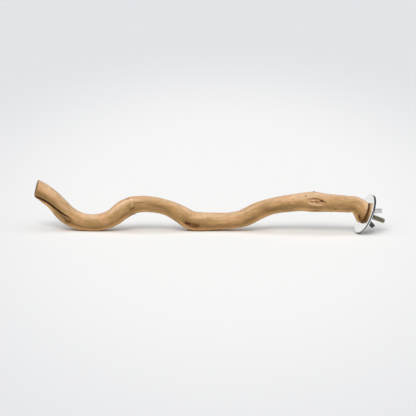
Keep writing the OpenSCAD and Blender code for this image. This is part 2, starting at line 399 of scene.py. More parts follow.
# Slits and pits: place, angle, half length, half width in mm, tilt, depth in mm, darkness,
# which is partly painted shade in each hollow and partly the wood's own brown
SLITS = [
    [0.466, 40, 1.3, 0.8, 0, 0.12, 0.45],
    [0.331, 33, 3, 0.26, 2, 0.2, 0.4],
    [0.856, -50, 3, 0.8, 0, 0.15, 0.45],
    [0.915, -30, 1.3, 0.8, 0, 0.25, 0.55],
    [0.23, 165, 3.2, 1.8, 6, 0.6, 0.8],
    [0.605, 140, 2.6, 1.6, -6, 0.5, 0.7],
    [0.722, 205, 2.2, 1.2, 0, 0.45, 0.7],
    [0.39, 118, 7, 0.22, 2, 0.25, 0.6],
    [0.56, 64, 5.5, 0.2, -2, 0.2, 0.4],
    [0.655, -58, 8, 0.22, 3, 0.25, 0.6],
    [0.18, -8, 5, 0.18, -3, 0.18, 0.3],
    [0.935, 150, 8, 0.25, 0, 0.3, 0.6],
]
# Strokes: place, angle, to place, to angle, half width and rise in mm, and shade, which is
# dark above 0, partly the knots' own brown and partly painted shade in grooves, and pale
# below, painted highlights on raised ridges
STROKES = [
    [0.093, -17, 0.1015, -25, 1, -0.45, 0.75],
    [0.1015, -25, 0.109, -22, 1.1, -0.4, 0.85],
    [0.109, -22, 0.1105, -9, 0.7, -0.3, 0.7],
    [0.1035, -13, 0.106, -17, 0.9, -0.1, 0.45],
    [0.2985, 42, 0.2945, -3, 1, 0.18, -0.38],
    [0.2925, 30, 0.2895, 4, 0.5, -0.22, 0.5],
    [0.304, 30, 0.3015, 2, 0.9, -0.2, 0.32],
    [0.288, -13, 0.2975, -12, 1.9, -0.35, 0.5],
    [0.29, -12, 0.2955, -11, 1.1, -0.2, 0.78],
    [0.2915, 70, 0.287, 82, 1, -0.55, 0.8],
    [0.308, 21, 0.329, 19, 0.55, -0.25, 0.62],
    [0.346, 6, 0.368, -1, 0.8, -0.1, 0.4],
    [0.4605, -22, 0.47, -17, 2.4, -0.65, 0.95],
    [0.463, -17, 0.468, -16, 0.7, 0.25, -0.35],
    [0.479, -13, 0.495, -16, 2.5, -0.55, 0.82],
    [0.49, -17, 0.5, -18, 0.9, -0.25, 0.84],
    [0.472, -27, 0.492, -29, 1.1, -0.25, 0.88],
    [0.8165, 61, 0.826, 38, 2.2, -0.12, 0.15],
    [0.835, 58, 0.843, 56, 1.4, -0.08, 0.14],
    [0.8315, 24, 0.842, 30, 0.55, -0.35, 0.66],
    [0.842, 30, 0.8543, 32, 0.75, -0.45, 0.74],
    [0.8543, 32, 0.8655, 28, 0.65, -0.42, 0.78],
    [0.8655, 28, 0.869, 20, 0.55, -0.35, 0.8],
    [0.8695, 21, 0.8755, 18, 1.45, -0.75, 1],
    [0.8735, 19, 0.885, 12, 0.65, -0.4, 0.92],
    [0.8395, 14, 0.8543, 15, 0.5, -0.3, 0.7],
    [0.8543, 15, 0.86, 7, 0.65, -0.35, 0.78],
    [0.86, 7, 0.865, 16, 0.5, -0.3, 0.66],
    [0.8415, 20, 0.852, 21, 0.55, 0.25, -0.9],
    [0.8325, 18, 0.8375, 3, 0.9, 0.2, -0.5],
    [0.8375, 3, 0.8507, -2, 1.4, 0.26, -0.58],
    [0.8507, -2, 0.8627, -5, 1.3, 0.22, -0.58],
    [0.8627, -5, 0.874, -5, 0.9, 0.2, -0.5],
    [0.9895, -30, 0.993, -37, 1.6, -0.45, 0.92],
    [0.985, -32, 0.9905, -46, 1, 0.25, -0.35],
    [0.991, -40, 0.9965, -48, 1.4, -0.3, 0.78],
]
# Swellings too fine for the model: place, angle, half length, half width, rise in mm
SWELLS = [
    [0.003, 95, 5, 9, -0.6],
    [0.022, 95, 7, 8, 0.8],
    [0.078, 95, 12, 9, 0.9],
    [0.104, 98, 14, 8, 0.7],
    [0.004, -74, 6, 4.5, 0.9],
    [0.034, -74, 9, 5.5, 1.3],
    [0.078, -80, 8, 7, 0.6],
    [0.118, -85, 10, 7, 0.6],
    [0.585, -90, 20, 8, -1],
    [0.622, 95, 7, 8, -0.6],
    [0.847, 84, 1.2, 1.6, 0.8],
    [0.984, -92, 4, 8, -0.8],
]
# Soft brown patches: place, angle, half length, half width in mm, darkness
PATCHES = [
    [0.012, -16, 5, 4, 0.54],
    [0.032, -10, 6, 3, 0.54],
    [0.058, -2, 8, 2.4, 0.41],
    [0.104, -20, 5, 3.6, 0.81],
    [0.13, -24, 9, 2.2, 0.68],
    [0.185, -30, 16, 3, 0.47],
    [0.272, -26, 12, 2.6, 0.47],
    [0.298, -14, 4.2, 3.2, 0.41],
    [0.352, 12, 7, 2.4, 0.54],
    [0.376, 3, 9, 2.6, 0.68],
    [0.396, -12, 8, 2.8, 0.54],
    [0.335, -16, 12, 2.6, 0.41],
    [0.462, -8, 7, 3.8, 0.61],
    [0.483, -19, 11, 3, 0.81],
    [0.515, -11, 8, 2.4, 0.68],
    [0.54, -26, 12, 2.8, 0.54],
    [0.58, -20, 16, 2.6, 0.54],
    [0.655, -22, 8, 3.8, 0.61],
    [0.703, 8, 8, 4.2, 0.74],
    [0.716, -16, 9, 3, 0.61],
    [0.735, -20, 14, 3.6, 0.54],
    [0.79, -12, 16, 2.6, 0.34],
    [0.847, 84, 1.6, 1.8, 0.85],
    [0.856, -20, 9, 2, 0.61],
    [0.857, -50, 7, 1.8, 0.68],
    [0.925, -2, 12, 3, 0.47],
    [0.965, -14, 7, 3.4, 0.41],
    [0.995, -34, 3.4, 2.6, 0.81],
    [0.25, 200, 16, 5, 0.54],
    [0.48, 170, 20, 5, 0.47],
    [0.62, 120, 14, 4, 0.47],
    [0.76, 215, 18, 5, 0.54],
]

# %% How marks shape the surface


def bell(q):
    """A bump of height 1 that falls off as exp(-q^2)."""
    return np.exp(-q * q)


def around(angle):
    """The same angle between -180 and 180."""
    return angle - 360 * np.round(angle / 360)


def offsets(place, angle, mark_place, mark_angle):
    """Distances in mm along and round the wood from a mark."""
    run = (place - mark_place) * WOOD_LENGTH
    arc = np.radians(around(angle - mark_angle)) * WOOD_D / 2
    return run, arc


def oval(place, angle, at, turn, long, wide):
    """Distance from a mark in half lengths along the wood and half widths round it."""
    run, arc = offsets(place, angle, at, turn)
    return np.hypot(run / long, arc / wide)


def knots(place, angle):
    """For each knot its angle, the distance q from it, and its rise and scar depth in mm."""
    for at, turn, long, wide, high, deep in KNOT_SHARES:
        q = oval(place, angle, at, turn, long * WOOD_D, wide * WOOD_D)
        yield turn, q, high * WOOD_D, deep * WOOD_D


def swelling(place, angle):
    """The model's own rises and scars in mm: for each knot, rise * bell(q) less
    depth * bell(q / SCAR_SHARE), and for each collar a bell along the wood."""
    each = knots(place, angle)
    rise = sum(high * bell(q) - deep * bell(q / SCAR_SHARE) for _, q, high, deep in each)
    for at, long, high in COLLAR_SHARES:
        rise += high * WOOD_D * bell((place - at) * WOOD_LENGTH / (long * WOOD_D))
    return rise


def slits(place, angle):
    """Depth in mm and darkness of the fine marks: each is depth * exp(-q^4), which has a
    flat floor and steep sides, with q measured along the mark's own tilted axes."""
    depth = dark = 0.0 * (place + angle)
    for at, turn, long, wide, tilt, deep, shade in SLITS:
        run, arc = offsets(place, angle, at, turn)
        x = (run * cosd(tilt) + arc * sind(tilt)) / long
        y = (arc * cosd(tilt) - run * sind(tilt)) / wide
        mask = bell(x * x + y * y)
        depth = np.maximum(depth, deep * mask)
        dark = np.maximum(dark, shade * mask)
    return depth, dark


def strokes(place, angle):
    """Rise in mm, darkness and paleness of the strokes, the darkness partly the knots' own brown
    and partly painted shade in grooves, and the paleness painted highlights on raised ridges:
    each is a bell of the distance to the line between its two ends, over its half width. The
    strongest one counts."""
    rise = dark = pale = 0.0 * (place + angle)
    for at, turn, to, to_turn, wide, high, shade in STROKES:
        run, arc = offsets(place, angle, at, turn)
        end = np.array(offsets(to, to_turn, at, turn))
        t = np.clip((run * end[0] + arc * end[1]) / (end @ end), 0, 1)
        mask = bell(np.hypot(run - t * end[0], arc - t * end[1]) / wide)
        rise = np.where(np.abs(high * mask) > np.abs(rise), high * mask, rise)
        dark, pale = np.maximum(dark, shade * mask), np.maximum(pale, -shade * mask)
    return rise, dark, pale


def swells(place, angle):
    """Rise in mm of the fine swellings, each rise * bell(q)."""
    return sum(high * bell(oval(place, angle, *mark)) for *mark, high in SWELLS)


def patches(place, angle):
    """Strength of the soft brown patches: 1 less the product of what each leaves clear."""
    left_clear = [1 - shade * bell(oval(place, angle, *mark)) for *mark, shade in PATCHES]
    return 1 - np.prod(left_clear, axis=0)


# %% [markdown]
# The large scar near the clamp is the callus that grew over a lost twig: an oval hollow with
# a lip. A brown groove bounds it above and ends in a pit, their darkness partly the wood's
# own and partly painted shade, and ridges curl inside it, pale with painted highlights.
# The strokes of the table draw those, and the hollow and its lip come from one distance, q,
# which is 1 on the lip. On the first arch, strokes draw the fold that a twig's base left.

# %% The large scar's hollow
# Place, angle, half length and half width in mm
SCAR = 0.857, 9, 11.5, 4.8
LIP_RISE, LIP_WIDE = 0.28, 0.22
FLOOR_DEPTH, FLOOR_EDGE, FLOOR_SOFT = 0.40, 0.80, 0.07


def scar_hollow(place, angle):
    """Rise in mm: a bell on the lip, where q = 1, less a floor that ends in a soft step."""
    q = oval(place, angle, *SCAR)
    lip = LIP_RISE * bell((q - 1) / LIP_WIDE)
    return lip - FLOOR_DEPTH / (1 + np.exp((q - FLOOR_EDGE) / FLOOR_SOFT))


# %% [markdown]
# The drying crack starts wide at the sawn end, thins, and runs up round the wood. Its floor
# is dark because light doesn't reach it. Where it thins, a splinter tore out below it, which
# left a wedge of rough fibres that widens as far as the knot.

# %% The drying crack
# Half width in mm at the thin end, and what the sawn end adds
CRACK_THIN, CRACK_GAPE = 0.42, 1.65
# Half width of the painted shade below and above the crack's line: a factor of that, and more mm
CRACK_SHADE_BELOW, CRACK_SHADE_ABOVE = (1.22, 0.22), (1.05, 0.10)
WEDGE_START, WEDGE_END = 0.046, 0.108
WEDGE_THIN, WEDGE_GROWS, WEDGE_FADE = 0.6, 6.0, 2.0


def crack(place, angle):
    """Depth in mm and darkness of the crack, depth * exp(-(x / half width)^8) with x
    measured square to its line, and a mask for the torn wedge from x = 0 down to its edge.
    The lower wall, which the viewer looks at, is painted dark up to its lip, as painted shade.
    The darkness fades over the crack's last eighth, and the mask over the wedge's first fifth."""
    line = curve_through(CRACK_SHARES, 1, place)
    left = np.clip(1 - place / CRACK_END_SHARE, 0, 1)
    x = np.radians(around(angle - line)) * WOOD_D / 2
    wide = CRACK_THIN + CRACK_GAPE * left
    depth = CRACK_DEPTH * np.sqrt(left) * bell((x / wide) ** 4)
    shade_reach = np.where(x < 0, np.polyval(CRACK_SHADE_BELOW, wide), np.polyval(CRACK_SHADE_ABOVE, wide))
    dark = np.sqrt(np.clip(left * 8, 0, 1)) * bell((x / shade_reach) ** 4)
    w = np.clip((place - WEDGE_START) / (WEDGE_END - WEDGE_START), 0, 1)
    half_reach = (WEDGE_THIN + WEDGE_GROWS * w) / 2
    torn = bell((x / half_reach + 1) ** 2) * np.clip(w * 5, 0, 1)
    torn = torn * bell(np.clip(place - WEDGE_END, 0, 1) * WOOD_LENGTH / WEDGE_FADE)
    return depth, dark, torn


# %% [markdown]
# ## The branch's surface
#
# The surface is a grid: places along the wood by angles round it. The angles crowd towards
# the front, where the crack and the scars are, and the places crowd at both ends, where the
# saw left a small rounded edge. The radius at each point adds up the wood's roundness, the
# swellings, the marks and fine flutes along the fibres. Near each end the sections lean over
# until they lie in the slanting cut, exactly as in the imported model.

# %% The grid of places and angles
RINGS, COLUMNS, CROWDING = 840, 112, 40
SAW_LEAN, SAW_TURN = 15, 7
CUT_FADE = 24
SAW_ROUND, SEAT_ROUND = 1.6, 2.6

edge_steps = np.array([0, 0.04, 0.12, 0.25, 0.42, 0.65, 0.95])
saw_side = edge_steps * SAW_ROUND / WOOD_LENGTH
seat_side = 1 - edge_steps[::-1] * SEAT_ROUND / WOOD_LENGTH
between = np.linspace(saw_side[-1], seat_side[0], RINGS + 2 - 2 * len(edge_steps))[1:-1]
place = np.concatenate([saw_side, between, seat_side])[:, None]
from_saw, to_seat = place * WOOD_LENGTH, (1 - place) * WOOD_LENGTH
turn = full_turn(COLUMNS)
angle = curve_through(CRACK_SHARES, 1, place) + np.degrees(turn) - CROWDING * np.sin(turn)
print(f"{place.size} sections of {COLUMNS} points, {WOOD_LENGTH / RINGS:.2f} mm apart")


# %% The radius at each point
# Unevenness of the skin: height, length and width of its cells in mm, and the seed
FLUTES = (0.09, 34, 3.4, 3), (0.05, 15, 1.5, 5), (0.16, 22, 9, 7)
TORN_ROUGH, TORN_DEEP = 0.34, 0.15


def edge_inset(far, radius):
    """How far a rounded edge lies inside the corner, at a distance from the cut."""
    rest = np.clip(1 - far / radius, 0, 1)
    return radius * (1 - np.sqrt(1 - rest * rest))


along, away, up = (v[:, None, :] for v in directions(place[:, 0]))
middle = middle_line(place[:, 0])[:, None, :]
half = curve_through(course, 3, place) / 2

roundness = 1 + OVAL_SHARE * cosd(2 * angle + OVAL_TWIST * place)
roundness += LOBE_SHARE * cosd(3 * angle + LOBE_TWIST * place)

slit_depth, slit_dark = slits(place, angle)
stroke_rise, stroke_dark, stroke_highlight = strokes(place, angle)
crack_depth, crack_dark, torn = crack(place, angle)

run_length = cumulative_length(middle[:, 0])[:, None] + 0 * angle
straight = np.stack([run_length, half * cosd(angle), half * sind(angle)], -1)
flutes = sum(
    high * smooth_noise(straight, (long, wide, wide), seed) for high, long, wide, seed in FLUTES
)
fibres = torn * (TORN_ROUGH * smooth_noise(straight, (4.0, 0.8, 0.8), 11) - TORN_DEEP)

radius = half * roundness + swelling(place, angle) + swells(place, angle)
radius += scar_hollow(place, angle) + stroke_rise + flutes + fibres - slit_depth - crack_depth
radius -= edge_inset(from_saw, SAW_ROUND) + edge_inset(to_seat, SEAT_ROUND)
print(f"radius {radius.min():.1f} to {radius.max():.1f} mm")

# %% The skin, leaning over towards the two cuts
saw_normal = -heading(SAW_LEAN, SAW_TURN)


def fade(far):
    """1 at a cut, falling to 0 at CUT_FADE from it, as the square of what is left."""
    return np.clip(1 - far / CUT_FADE, 0, 1) ** 2


def slide(out, normal):
    """How far a point slides along the wood to lie in a cut with that normal."""
    return -(out @ normal) / (along @ normal)


out = radius[..., None] * (sind(angle)[..., None] * up - cosd(angle)[..., None] * away)
slid = fade(from_saw) * slide(out, saw_normal) + fade(to_seat) * slide(out, stud_dir)
skin = middle + out + slid[..., None] * along

# %% [markdown]
# The same grid carries the wood's own coordinates, as if the branch were pulled straight:
# distance along it, and position across. Fibres drawn in these coordinates follow every
# bend. Close to a knot the coordinates are spread, so that the fibres flow round it.

# %% The wood's own coordinates and its colour masks
PARTING, PARTING_SHARE = 0.75, 0.9
HEART_SHARE = 0.62
# A painted shadow along the clamp end, where the wood meets the inner washer: its darkness and
# width in mm
SEAT_SHADOW_DARK, SEAT_SHADOW_WIDE = 0.78, 1.8

scars = [(turn, q) for turn, q, high, deep in knots(place, angle) if deep > 0]


def parted(turn, q):
    """How far a knot turns the fibres: a share, PARTING * bell(q), of their way to it."""
    return PARTING * around(angle - turn) * bell(q / PARTING_SHARE)


fibre_angle = angle - sum(parted(*scar) for scar in scars)
across = np.stack([radius * cosd(fibre_angle), radius * sind(fibre_angle)], -1)
grain = np.concatenate([(run_length + slid)[..., None], across], -1)

knot_mask = np.max([bell(q / HEART_SHARE) for _, q in scars], axis=0)
seat_shadow = SEAT_SHADOW_DARK * bell(to_seat / SEAT_SHADOW_WIDE) + 0 * angle
# Dark marks: the knots' own brown, painted shade in the slits, grooves and crack, and a painted
# shadow at the clamp end
dark_mask = np.maximum.reduce([slit_dark, stroke_dark, crack_dark, seat_shadow])
# Painted highlights on the strokes' raised ridges
highlight_mask = stroke_highlight * (1 - dark_mask)

# %% [markdown]
# The two ends are closed by rings that shrink towards the middle. At the clamp they stop at
# the hole for the bolt and run down to its bottom, so that the wood is one closed surface.

# %% The ends of the wood
PILOT_R, PILOT_DEPTH = 2.35, 28

saw_shares = np.array([0.12, 0.30, 0.50, 0.68, 0.83, 0.93, 0.985])[:, None, None]
saw_face = middle[:1] + saw_shares * (skin[:1] - middle[:1])
saw_grain = grain[:1] * saw_shares ** [0, 1, 1]

rim_side = (skin[-1] - seat) @ clamp_axes.T
pilot = PILOT_R * unit(rim_side * [1, 1, 0])
seat_shares = np.array([0.985, 0.93, 0.8, 0.6, 0.4, 0.2, 0.05, 0.0])[:, None, None]
seat_face = at_clamp(pilot + seat_shares * (rim_side - pilot))
depths = -np.array([0.1, 0.6, 2, 8, 16, 24, 27.4, PILOT_DEPTH])[:, None, None]
hole = at_clamp(pilot + depths * np.array([0, 0, 1]))
seat_grain = grain[-1:] * seat_shares ** [0, 1, 1]
hole_grain = np.repeat(seat_grain[-1:], len(depths), 0)

# The colour of cut wood fades over the rounded edges
cut = np.zeros_like(radius)
cut[:5] = np.array([1, 0.9, 0.6, 0.3, 0.1])[:, None]
cut[-5:] = cut[:5][::-1]

# Each mask keeps the value of its last row over the end and in the hole
masks = {"knot": knot_mask, "dark": dark_mask, "torn": torn, "pale": highlight_mask, "cut": cut}
masks["brown"] = patches(place, angle)
more_rows = (len(saw_shares), len(seat_shares) + len(depths)), (0, 0)
values = {name: np.pad(mask, more_rows, "edge") for name, mask in masks.items()}
values["grain"] = np.concatenate([saw_grain, grain, seat_grain, hole_grain]) * MM
rings = np.concatenate([saw_face, skin, seat_face, hole])
branch = mesh_from_rings("branch_wood", rings, values)

# %% [markdown]
# ## The hanger bolt
#
# A hanger bolt has two threads: a coarse one that cuts into wood, and a machine thread for
# the nut. A tooth could be swept along a helix by the Screw modifier, but its ends would need
# cutting. A thread is also a turned bar whose radius depends on the height less the turn, in
# pitches, so both come from one formula here, on one grid, with a point at one end and a
# rounded bevel at the other. A dark line along the thread on the viewer's side is a painted
# dark reflection.

# %% The hanger bolt
STUD_R, STUD_ROOT_R, STUD_PITCH = 3.0, 2.42, 1.0
SCREW_R, SCREW_ROOT_R, SCREW_PITCH = 2.28, 1.65, 2.6
NUT_H = 6.5
STUD_FREE = 17.5
STUD_SIDES, TURN_STEPS = 40, 12
SCREW_LONG, POINT_LONG = 28, 6
NECK_LONG, NECK_R = 3, 2.25
BEVEL_LONG, BEVEL_DEEP = 1.0, 0.95
DARK_LINE_TURN, DARK_LINE_WIDE = 258, 15


def thread_height(turns):
    """A thread's profile from 0 in the root to 1 on the crest: a triangle wave whose root
    is flat for a quarter and whose crest for an eighth of the pitch, slightly softened."""
    wave = 1 - np.abs(2 * (turns % 1) - 1)
    h = np.clip((wave - 0.25) / 0.625, 0, 1)
    return 0.4 * h + 0.6 * h * h * (3 - 2 * h)


nut_seat = stack + NUT_GAP
stud_end = nut_seat + NUT_H + STUD_FREE
wood_side = np.linspace(0.1 - SCREW_LONG, -0.02, 100)
free_side = np.arange(0.0, stud_end - BEVEL_LONG, STUD_PITCH / TURN_STEPS)
tip_side = stud_end - BEVEL_LONG * np.array([1.0, 0.8, 0.6, 0.42, 0.28, 0.16, 0.07, 0.0])
z = np.concatenate([wood_side, free_side, tip_side])[:, None]
theta = full_turn(STUD_SIDES)

coarse = thread_height(z / SCREW_PITCH - theta / (2 * np.pi))
fine = thread_height(z / STUD_PITCH - theta / (2 * np.pi))
point = np.clip((z + SCREW_LONG) / POINT_LONG, 0, 1) ** 0.8
neck = np.clip(z + NECK_LONG, 0, 1)
coarse_r = SCREW_ROOT_R + (SCREW_R - SCREW_ROOT_R) * coarse
coarse_r = (coarse_r * (1 - neck) + NECK_R * neck) * point + 0.02
fine_r = STUD_ROOT_R + (STUD_R - STUD_ROOT_R) * fine
bevel = STUD_R + 0.05 - BEVEL_DEEP * edge_inset(stud_end - z, BEVEL_LONG)
r = np.where(z < 0, coarse_r, np.minimum(fine_r, bevel))
# The roots are painted darker than the crests, as painted shade, and a line on the viewer's side
# dark, as a painted dark reflection
crest = np.clip((r - STUD_ROOT_R) / (STUD_R - STUD_ROOT_R), 0, 1)
painted_reflection = np.where(z > 0, bell(around(np.degrees(theta) - DARK_LINE_TURN) / DARK_LINE_WIDE), 0)
bolt_masks = {"crest": crest, "painted_reflection": painted_reflection}
bolt = mesh_from_rings("threaded_bolt", at_clamp(turned(r, z, theta)), bolt_masks)
print(f"thread from {STUD_ROOT_R} to {STUD_R} mm, {STUD_PITCH} mm pitch")

# %% [markdown]
# ## The washers
#
# A washer is a flat ring whose edges were rolled round before plating. A cylinder with a
# bevel would do, but its rim couldn't carry the satin of the shear and the painted shade so
# simply. Here a closed outline is carried round the axis. A second outline point just inside
# each rounding keeps the flat faces flat in the shading, where the highlight would give away a
# bulge.

# %% The washers
HOLE_R = 3.3
HOLE_EDGE = 0.15
WASHER_SIDES = 224
FACE_RADII, FACE_STEP = (9, 17), 0.3
# Width in mm of the painted shade next to the gap between the washers, and the strength of the
# painted shade and dark reflections on the rims
GAP_SHADE_WIDE, RIM_SHADE_GAIN = 0.4, 1.6


def corner(radius, height, size, start):
    """A quarter circle of the given size round its centre, as radius and height pairs."""
    a = np.radians(start + np.linspace(0, 90, 7))
    return np.stack([radius + size * np.cos(a), height + size * np.sin(a)], -1)


outer_r, hole_r = WASHER_R - WASHER_EDGE, HOLE_R + HOLE_EDGE
face = [[r, 0] for r in (hole_r + FACE_STEP, *FACE_RADII, outer_r - FACE_STEP)]
profile = np.concatenate([
    face,
    corner(outer_r, WASHER_EDGE, WASHER_EDGE, -90),
    corner(outer_r, WASHER_T - WASHER_EDGE, WASHER_EDGE, 0),
    [[r, WASHER_T] for r, _ in face[::-1]],
    corner(hole_r, WASHER_T - HOLE_EDGE, HOLE_EDGE, 90),
    corner(hole_r, HOLE_EDGE, HOLE_EDGE, 180),
])


def washer(name, lift, gap_face, *shaded_arcs):
    """The profile carried round the stud's axis. The whole rim is satin. It is painted dark
    near the face towards the gap between the washers, as painted shade, and round each given
    angle, as painted shade and dark reflections: a bell round each given angle, over a half
    width in degrees."""
    r, z, theta = profile[:, :1], profile[:, 1:], full_turn(WASHER_SIDES)
    on_rim = np.clip((r - outer_r + 0.05) / 0.15, 0, 1)
    turn = np.degrees(theta)
    dark = RIM_SHADE_GAIN * sum(bell(around(turn - at) / wide) for at, wide in shaded_arcs)
    dark = np.clip(np.maximum(dark, bell((z - gap_face) / GAP_SHADE_WIDE)), 0, 1)
    masks = {"satin": on_rim + 0 * turn, "shade": on_rim * dark}
    return mesh_from_rings(name, at_clamp(turned(r, z, theta), lift), masks, loop=True)


# Painted shade at the bottom of both rims, and a painted dark reflection on the outer rim's upper
# side
inner = washer("inner_plated_washer", SEAT_GAP, WASHER_T, (0, 26))
outer_lift = SEAT_GAP + WASHER_T + CLAMP_GAP
outer = washer("outer_plated_washer", outer_lift, 0, (0, 26), (222, 36))

# %% [markdown]
# ## The wing nut
#
# The nut is forged: a turned hub with a thread inside, and two wings that grow out of its
# side and lean outwards. A wing could be a bevelled slab. Carrying a rounded rectangle along
# a curve also gives the soft forms of a forging: thick where it leaves the hub, and thinner
# towards its square, rounded tip.

# %% The nut's hub
NUT_TURN = 17
NUT_BORE_R, THREAD_CUT = 3.08, 0.42
BASE_R, TOP_R = 6.0, 4.8
HUB_ROUND = 0.45
MOUTH_R, LEAD_R = NUT_BORE_R + 0.75, NUT_BORE_R + 0.5
HUB_SIDES = 96

hub_outside = np.concatenate([
    [[MOUTH_R, 0]],
    corner(BASE_R - HUB_ROUND, HUB_ROUND, HUB_ROUND, -90),
    [[BASE_R, 0.20 * NUT_H], [BASE_R, 0.26 * NUT_H], [BASE_R - 0.12, 0.34 * NUT_H]],
    [[TOP_R + 0.08, NUT_H - HUB_ROUND - 0.35]],
    corner(TOP_R - HUB_ROUND, NUT_H - HUB_ROUND, HUB_ROUND, 0),
    [[MOUTH_R, NUT_H], [LEAD_R, NUT_H]],
])
bore_z = np.arange(NUT_H - 0.25, 0.24, -STUD_PITCH / TURN_STEPS)
theta = np.radians(NUT_TURN) + full_turn(HUB_SIDES)[None, :]
turns = (bore_z[:, None] + nut_seat) / STUD_PITCH - theta / (2 * np.pi)
bore_r = NUT_BORE_R + THREAD_CUT * thread_height(turns)
outside_r, outside_z = hub_outside[:, :1] + 0 * theta, hub_outside[:, 1:] + 0 * theta
hub_r = np.concatenate([outside_r, bore_r, np.full_like(theta, LEAD_R)])
hub_z = np.concatenate([outside_z, bore_z[:, None] + 0 * theta, 0 * theta])
# Painted shade, darker towards the bore
bore_shade = np.clip((5.0 - hub_r) / 1.5, 0, 1)
hub_points = at_clamp(turned(hub_r, hub_z, theta), nut_seat)
hub = mesh_from_rings("nut_hub", hub_points, {"shade": bore_shade}, sharp_angle=50, loop=True)

# %% The nut's wings
WING_SPAN, WING_H, WING_W, WING_T = 27.6, 16.2, 5.4, 2.4
WING_SPLAY, WING_CORNER = 30, 0.9
WING_ROWS, WING_SIDES = 56, 40
# The curve's start and its direction there, and how firmly the tip's direction holds it
WING_ROOT, ROOT_DIR, TIP_HOLD = np.array([4.0, 3.4]), np.array([9.0, 0.5]), 9.0
# What the root adds to half the width and thickness, and what the tip loses, in mm
ROOT_WIDER, ROOT_THICKER, TIP_THINNER = 0.6, 0.9, 0.12
SQUARENESS = 0.45

wing_dir = np.array([sind(WING_SPLAY), cosd(WING_SPLAY)])
wing_side = np.array([cosd(WING_SPLAY), -sind(WING_SPLAY)])
flat = WING_W - 2 * WING_CORNER
outer_corner = [WING_SPAN / 2 - WING_CORNER, WING_H - WING_CORNER - flat * sind(WING_SPLAY)]
wing_tip = np.array(outer_corner) - flat / 2 * wing_side + WING_CORNER * wing_dir


def wing(name, turn, shade):
    """A rounded rectangle carried along a cubic from the root to the tip: x and y are its
    half sizes times |cos t|^0.45 and |sin t|^0.45. It shrinks away from the root as
    (1 - w)^3, and rounds off at the tip as a quarter circle."""
    w = 1 - (1 - np.linspace(0, 1, WING_ROWS)[:, None]) ** 1.5
    line = cubic(w, WING_ROOT, wing_tip, ROOT_DIR, TIP_HOLD * wing_dir)
    slope = unit(np.gradient(line, w[:, 0], axis=0))
    side = np.stack([slope[:, 1], -slope[:, 0]], -1)
    flare = (1 - w) ** 3
    inset = edge_inset(np.linalg.norm(wing_tip - line, axis=1)[:, None], WING_CORNER)
    half_w = WING_W / 2 + ROOT_WIDER * flare - inset
    half_t = WING_T / 2 + ROOT_THICKER * flare - TIP_THINNER * w - 0.6 * inset
    t = full_turn(WING_SIDES)
    x = half_w * np.sign(np.cos(t)) * np.abs(np.cos(t)) ** SQUARENESS
    y = half_t * np.sign(np.sin(t)) * np.abs(np.sin(t)) ** SQUARENESS
    reach = line[:, :1] + x * side[:, :1]
    height = line[:, 1:] + x * side[:, 1:]
    c, s = cosd(turn), sind(turn)
    points = np.stack([reach * c - y * s, reach * s + y * c, height], -1)
    # Painted shade where the wing leaves the hub, and over the lower wing a painted dark reflection
    darker = np.maximum(np.clip(1 - 4 * w, 0, 1), shade) + 0 * t
    return mesh_from_rings(name, at_clamp(points, nut_seat), {"shade": darker})


wings = [wing("wing_low", NUT_TURN, 0.95), wing("wing_high", NUT_TURN + 180, 0.0)]

# %% [markdown]
# ## The wood's finish
#
# Bare wood without bark has three scales of colour: slow drifts between straw, tan and a
# rosy brown, streaks a few fibres wide, and hair-thin dark pores. All are noise in the wood's
# own coordinates, stretched along the fibres by a Mapping node. On top of that the wood is
# painted lighter on its top and browner underneath, as painted light and shade, with a warm
# band of painted bounced light along the bottom. The masks from the mesh then darken the
# knots, the slits, the crack and the clamp end, partly with painted shade, and lay painted
# highlights on raised ridges. The bump repeats the streaks at a finer scale.

# %% Helpers for materials


def srgb(r, g, b):
    """A colour picked from 0 to 255, as the linear values that the shader wants."""
    c = np.array([r, g, b]) / 255
    linear = np.where(c <= 0.04045, c / 12.92, ((c + 0.055) / 1.055) ** 2.4)
    return (*linear.tolist(), 1.0)


